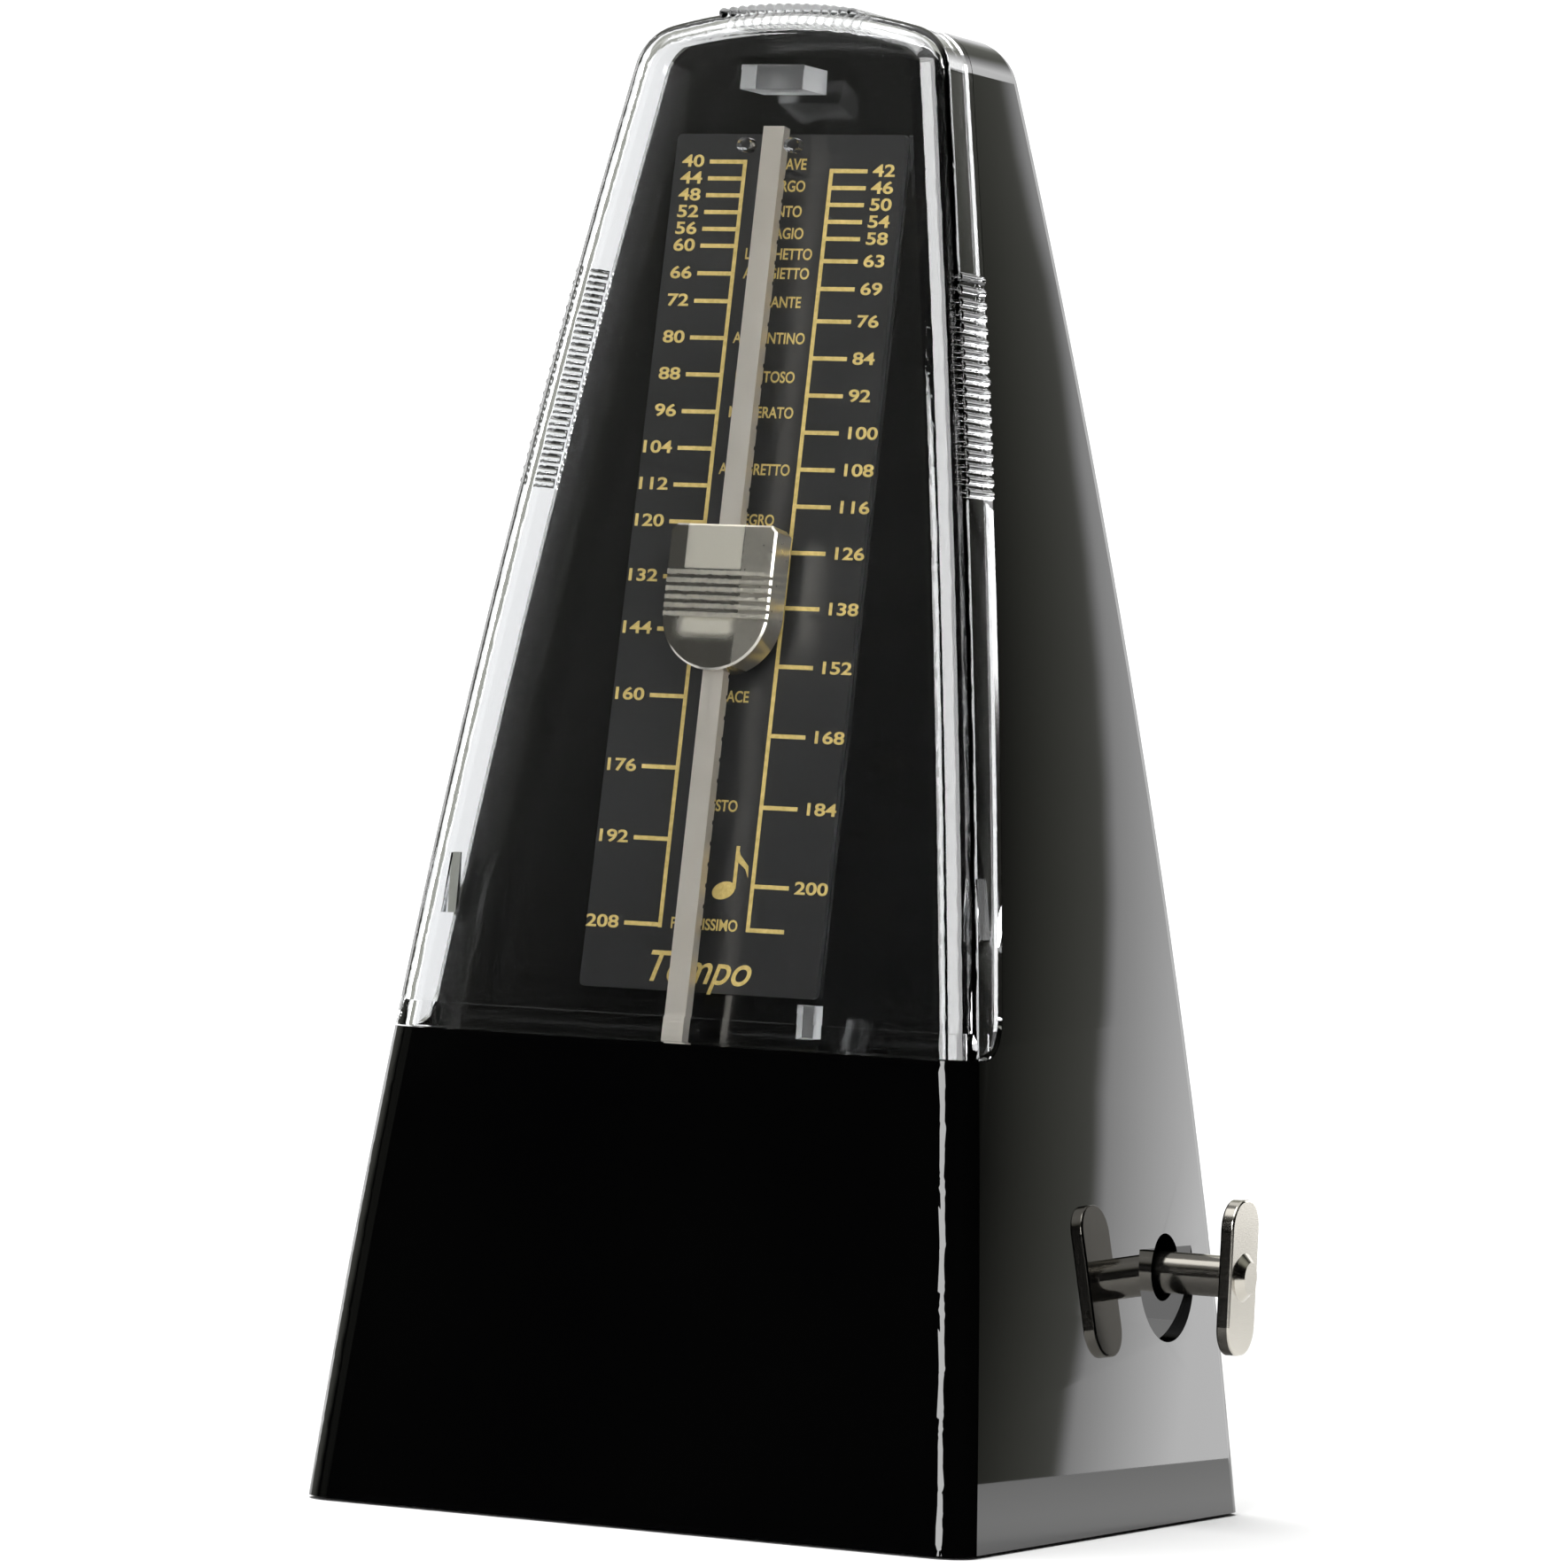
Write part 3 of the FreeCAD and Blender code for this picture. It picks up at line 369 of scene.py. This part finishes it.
dress(GLOSS_BLACK, "body_shell")
dress(PANEL_BLACK, "inner_panel")
dress(PLATE_DARK, "scale_plate")
dress(CLEAR, "front_cover")
dress(BASE_BLACK, "base_plate")
dress(RUBBER, "rubber_feet")
dress(SATIN_NICKEL, "pendulum_rod")
dress(BOB_NICKEL_PAINTED_SHEEN, "bob")
dress(NICKEL, "key_wing", "key_stem")
dress(STEEL, "movement_plate_left", "movement_plate_right", "front_bearing", "rear_bearing")
dress(STEEL, "base_screws", "pillar_screws", "movement_screws", "ratchet_wheel", "click", "pallets")
dress(STEEL, "pendulum_arbor", "winding_arbor", "escape_arbor")
dress(SPRING, "mainspring", "click_spring", "bob_spring")
dress(BRASS, "pillars", "great_wheel", "escape_wheel", "escape_pinion")
dress(IRON, "counterweight")


# =============================== printed scale =================================
def plate_point(x, height, lift=PRINT_LIFT):
    """Point on the front of the scale plate, in metres."""
    y = PLATE_FRONT + LEAN * (height - LEAN_HEIGHT) - lift
    return Vector((x * MM, y * MM, height * MM))


def print_text(name, words, x, height, size, squeeze=1.0, align="CENTER", weight=0.0, slope=0.0):
    """Printed text on the scale plate; height is the text's middle."""
    curve = bpy.data.curves.new(name, "FONT")
    curve.body = words
    curve.size = size * MM / 0.7
    curve.align_x = align
    curve.align_y = "CENTER"
    curve.extrude = PRINT_DEPTH * MM / 2
    curve.offset = weight * MM
    curve.shear = slope
    text = bpy.data.objects.new(name, curve)
    text.location = plate_point(x, height)
    text.rotation_euler = (math.pi / 2 - LEAN_ANGLE, 0.0, 0.0)
    text.scale = (squeeze, 1.0, 1.0)
    bpy.context.collection.objects.link(text)
    text.data.materials.append(GOLD)
    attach(text, "case")


def print_polygon(name, outline):
    """Flat printed shape on the scale plate."""
    front = [plate_point(x, z) for x, z in outline]
    back = [plate_point(x, z, PRINT_LIFT - PRINT_DEPTH) for x, z in outline]
    count = len(outline)
    faces = [tuple(range(count)), tuple(range(2 * count - 1, count - 1, -1))]
    for index in range(count):
        after = (index + 1) % count
        faces.append((index, index + count, after + count, after))
    mesh = bpy.data.meshes.new(name)
    mesh.from_pydata([tuple(point) for point in front + back], [], faces)
    shape = bpy.data.objects.new(name, mesh)
    bpy.context.collection.objects.link(shape)
    shape.data.materials.append(GOLD)
    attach(shape, "case")


def print_bar(name, x_low, x_high, z_low, z_high):
    """Flat printed bar on the scale plate."""
    print_polygon(name, [(x_low, z_low), (x_high, z_low), (x_high, z_high), (x_low, z_high)])


def print_note():
    """Quaver drawn above the bottom tempo word."""
    head = []
    for index in range(NOTE_STEPS):
        turn = 2 * math.pi * index / NOTE_STEPS
        along_head = NOTE_HALF_LENGTH * math.cos(turn)
        across_head = NOTE_HALF_WIDTH * math.sin(turn)
        x = NOTE_X + along_head * math.cos(NOTE_TILT) - across_head * math.sin(NOTE_TILT)
        z = NOTE_LOW + along_head * math.sin(NOTE_TILT) + across_head * math.cos(NOTE_TILT)
        head.append((x, z))
    print_polygon("print_note_head", head)
    stem = NOTE_X + NOTE_STEM
    stem_ends = (stem - NOTE_STEM_HALF, stem + NOTE_STEM_HALF)
    print_bar("print_note_stem", *stem_ends, NOTE_LOW + 0.3, NOTE_HIGH)
    flag = [
        (stem, NOTE_HIGH),
        (stem + 0.5, NOTE_HIGH - 1.3),
        (stem + 2.0, NOTE_HIGH - 2.9),
        (stem + 2.1, NOTE_HIGH - 4.6),
        (stem + 1.5, NOTE_HIGH - 3.3),
        (stem, NOTE_HIGH - 2.2),
    ]
    print_polygon("print_note_flag", flag)


def mark_height(tempo):
    """Height of a tempo's mark, between the nearest stated tempos."""
    for (slow, high), (fast, low) in zip(TEMPO_HEIGHTS, TEMPO_HEIGHTS[1:]):
        if tempo <= fast:
            return high + (low - high) * (tempo - slow) / (fast - slow)
    return TEMPO_HEIGHTS[-1][1]


def print_scale():
    """Two graduated lines, their numbers and the tempo words between them."""
    half = LINE_WIDTH / 2
    for side, tempos, label in ((-1, LEFT_TEMPOS, "left"), (1, RIGHT_TEMPOS, "right")):
        line = SCALE_X + side * LINE_HALF_GAP
        top = mark_height(tempos[0]) + half
        print_bar("print_line_" + label, line - half, line + half, LINE_BOTTOM - half, top)
        end = line + side * TICK_LENGTH
        ends = sorted((line, end))
        for number in tempos:
            height = mark_height(number)
            print_bar(f"print_tick_{number}", ends[0], ends[1], height - half, height + half)
            align = "RIGHT" if side < 0 else "LEFT"
            place = (end + side * NUMBER_GAP, height)
            look = (NUMBER_HEIGHT, NUMBER_STRETCH, align, NUMBER_WEIGHT)
            print_text(f"print_number_{number}", str(number), *place, *look)
        if side > 0:
            print_bar("print_tick_last", ends[0], ends[1], LINE_BOTTOM - half, LINE_BOTTOM + half)
    look = (WORD_HEIGHT, WORD_STRETCH, "CENTER", WORD_WEIGHT)
    for word, height in TEMPO_WORDS.items():
        print_text("print_word_" + word.lower(), word, SCALE_X, height, *look)
    print_note()
    look = (TITLE_HEIGHT, TITLE_STRETCH, "CENTER", NUMBER_WEIGHT, TITLE_SLOPE)
    print_text("print_title", TITLE, SCALE_X + TITLE_SHIFT, TITLE_RISE, *look)


print_scale()


# =============================== studio ========================================
def studio_floor():
    """Pale floor under the object."""
    bpy.ops.mesh.primitive_plane_add(size=FLOOR_SIZE, location=(0.0, 0.0, 0.0))
    floor = bpy.context.active_object
    floor.name = "studio_floor"
    material, tree, shader = new_material("pale_floor")
    speckle = noise(tree, 3.0, 2.0)
    tree.links.new(ramp(tree, speckle, (0.93, 0.93, 0.93), (0.95, 0.95, 0.95)), shader.inputs["Base Color"])
    shader.inputs["Roughness"].default_value = 0.9
    shader.inputs["Specular IOR Level"].default_value = 0.0
    floor.data.materials.append(material)


def around(azimuth, elevation, distance=1.0, height=0.0):
    """Point in a direction; azimuth turns from the scale side towards the key side."""
    turn = math.radians(azimuth)
    rise = math.radians(elevation)
    flat = distance * math.cos(rise)
    return Vector((flat * math.sin(turn), -flat * math.cos(turn), height + distance * math.sin(rise)))


def area_light(name, place, size, radiance):
    """Soft rectangular light of a stated brightness, aimed at the object's middle."""
    data = bpy.data.lights.new(name, "AREA")
    data.shape = "RECTANGLE"
    data.size, data.size_y = size
    data.energy = radiance * math.pi * size[0] * size[1]
    light = bpy.data.objects.new(name, data)
    light.location = place
    aim = Vector((0.0, 0.0, OBJECT_MIDDLE)) - Vector(place)
    light.rotation_euler = aim.to_track_quat("-Z", "Y").to_euler()
    light.visible_camera = False
    bpy.context.collection.objects.link(light)
    return light


def light_only(light, *nodes):
    """Keeps a light to some CAD nodes."""
    group = bpy.data.collections.new(light.name + "_target")
    for node in nodes:
        group.objects.link(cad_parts[node])
    light.light_linking.receiver_collection = group


def along(tree, direction, low, high, low_value=0.0, high_value=1.0):
    """World value that changes between two positions along a direction."""
    place = tree.nodes.new("ShaderNodeTexCoord")
    dot = tree.nodes.new("ShaderNodeVectorMath")
    dot.operation = "DOT_PRODUCT"
    dot.inputs[1].default_value = Vector(direction).normalized()
    tree.links.new(place.outputs["Generated"], dot.inputs[0])
    node = tree.nodes.new("ShaderNodeMapRange")
    node.inputs["From Min"].default_value = low
    node.inputs["From Max"].default_value = high
    node.inputs["To Min"].default_value = low_value
    node.inputs["To Max"].default_value = high_value
    tree.links.new(dot.outputs["Value"], node.inputs["Value"])
    return node.outputs["Result"]


def studio_world():
    """Dark room with a lit white backdrop behind the object."""
    world = bpy.data.worlds.new("studio")
    bpy.context.scene.world = world
    world.use_nodes = True
    tree = world.node_tree
    background = tree.nodes["Background"]

    def sine(degrees):
        return math.sin(math.radians(degrees))

    right_edge = around(BACKDROP_RIGHT + 90.0, 0.0)
    tilted_edge = right_edge - Vector((0.0, 0.0, BACKDROP_TILT))
    offset = -BACKDROP_TILT * sine(BACKDROP_TILT_HEIGHT)
    beyond_right = along(tree, tilted_edge, offset + sine(-0.08), offset + sine(0.08))
    behind = along(tree, around(BACKDROP_MIDDLE, 0.0), sine(20.0), sine(24.0))
    left_side = along(tree, around(BACKDROP_LEFT - 90.0, 0.0), sine(-2.0), sine(2.0))
    backdrop = combine(tree, "MULTIPLY", combine(tree, "MULTIPLY", beyond_right, left_side), behind)
    rise = along(tree, tilted_edge, offset, offset + sine(0.9), 1.35, 3.2)
    backdrop = combine(tree, "MULTIPLY", backdrop, rise)
    straight_behind = along(tree, around(BACKDROP_MIDDLE, 0.0), 0.72, 0.9, 1.0, 0.36)
    low_fade = along(tree, (0.0, 0.0, 1.0), sine(-3.4), sine(-1.6), 0.3, 1.0)
    high_fade = along(tree, (0.0, 0.0, 1.0), sine(19.0), sine(25.0), 1.0, 0.15)
    for fade in (straight_behind, low_fade, high_fade):
        backdrop = combine(tree, "MULTIPLY", backdrop, fade)
    edge_glow = along(tree, tilted_edge, offset + sine(-1.0), offset, 0.0, 0.36)
    edge_glow = combine(tree, "MULTIPLY", edge_glow, along(tree, around(BACKDROP_MIDDLE, 0.0), 0.0, 0.3))
    above = along(tree, (0.0, 0.0, 1.0), sine(34.0), sine(50.0), 0.0, 1.0)
    front_fill = along(tree, around(-46.0, 20.0), sine(70.0), sine(75.0), 0.0, 0.1)
    total = combine(tree, "MAXIMUM", backdrop, edge_glow)
    total = combine(tree, "MAXIMUM", total, above)
    total = combine(tree, "MAXIMUM", total, front_fill)
    total = combine(tree, "MAXIMUM", total, 0.002)
    seen = tree.nodes.new("ShaderNodeLightPath")
    white = combine(tree, "MULTIPLY", seen.outputs["Is Camera Ray"], 1.3)
    total = combine(tree, "MAXIMUM", total, white)
    tint = ramp(tree, total, (0.98, 1.0, 0.86), (1.0, 1.0, 1.0), 0.2, 0.9)
    tree.links.new(tint, background.inputs["Color"])
    tree.links.new(total, background.inputs["Strength"])


def studio_camera():
    """Camera at the photograph's viewing angle."""
    turn = math.radians(CAMERA_AZIMUTH)
    pitch = math.radians(CAMERA_PITCH)
    roll = math.radians(CAMERA_ROLL)
    level = Vector((-math.sin(turn), math.cos(turn), 0.0))
    up = Vector((0.0, 0.0, 1.0))
    right = Vector((math.cos(turn), math.sin(turn), 0.0))
    forward = level * math.cos(pitch) - up * math.sin(pitch)
    tilted_up = level * math.sin(pitch) + up * math.cos(pitch)
    axis_x = right * math.cos(roll) + tilted_up * math.sin(roll)
    axis_y = tilted_up * math.cos(roll) - right * math.sin(roll)
    data = bpy.data.cameras.new("photo_camera")
    data.lens = CAMERA_LENS
    data.sensor_width = 36.0
    data.shift_x, data.shift_y = CAMERA_SHIFT
    data.clip_start = 0.01
    camera = bpy.data.objects.new("photo_camera", data)
    place = Vector((0.0, 0.0, CAMERA_HEIGHT)) - level * CAMERA_DISTANCE
    turned = Matrix((axis_x, axis_y, -forward)).transposed().to_4x4()
    camera.matrix_world = Matrix.Translation(place) @ turned
    bpy.context.collection.objects.link(camera)
    bpy.context.scene.camera = camera


studio_floor()
studio_world()
area_light("top_softbox", around(-20.0, 75.0, 1.3), (1.1, 0.8), 5.2)
area_light("camera_softbox", around(7.0, 14.0, 1.5, OBJECT_MIDDLE), (0.46, 0.6), 11.0)
edge_light = area_light("cover_edge_softbox", around(52.0, 18.0, 1.5, OBJECT_MIDDLE), (1.3, 1.5), 9.0)
light_only(edge_light, "front_cover", "pendulum_rod", "bob")
studio_camera()
bpy.context.scene.view_settings.view_transform = "Standard"
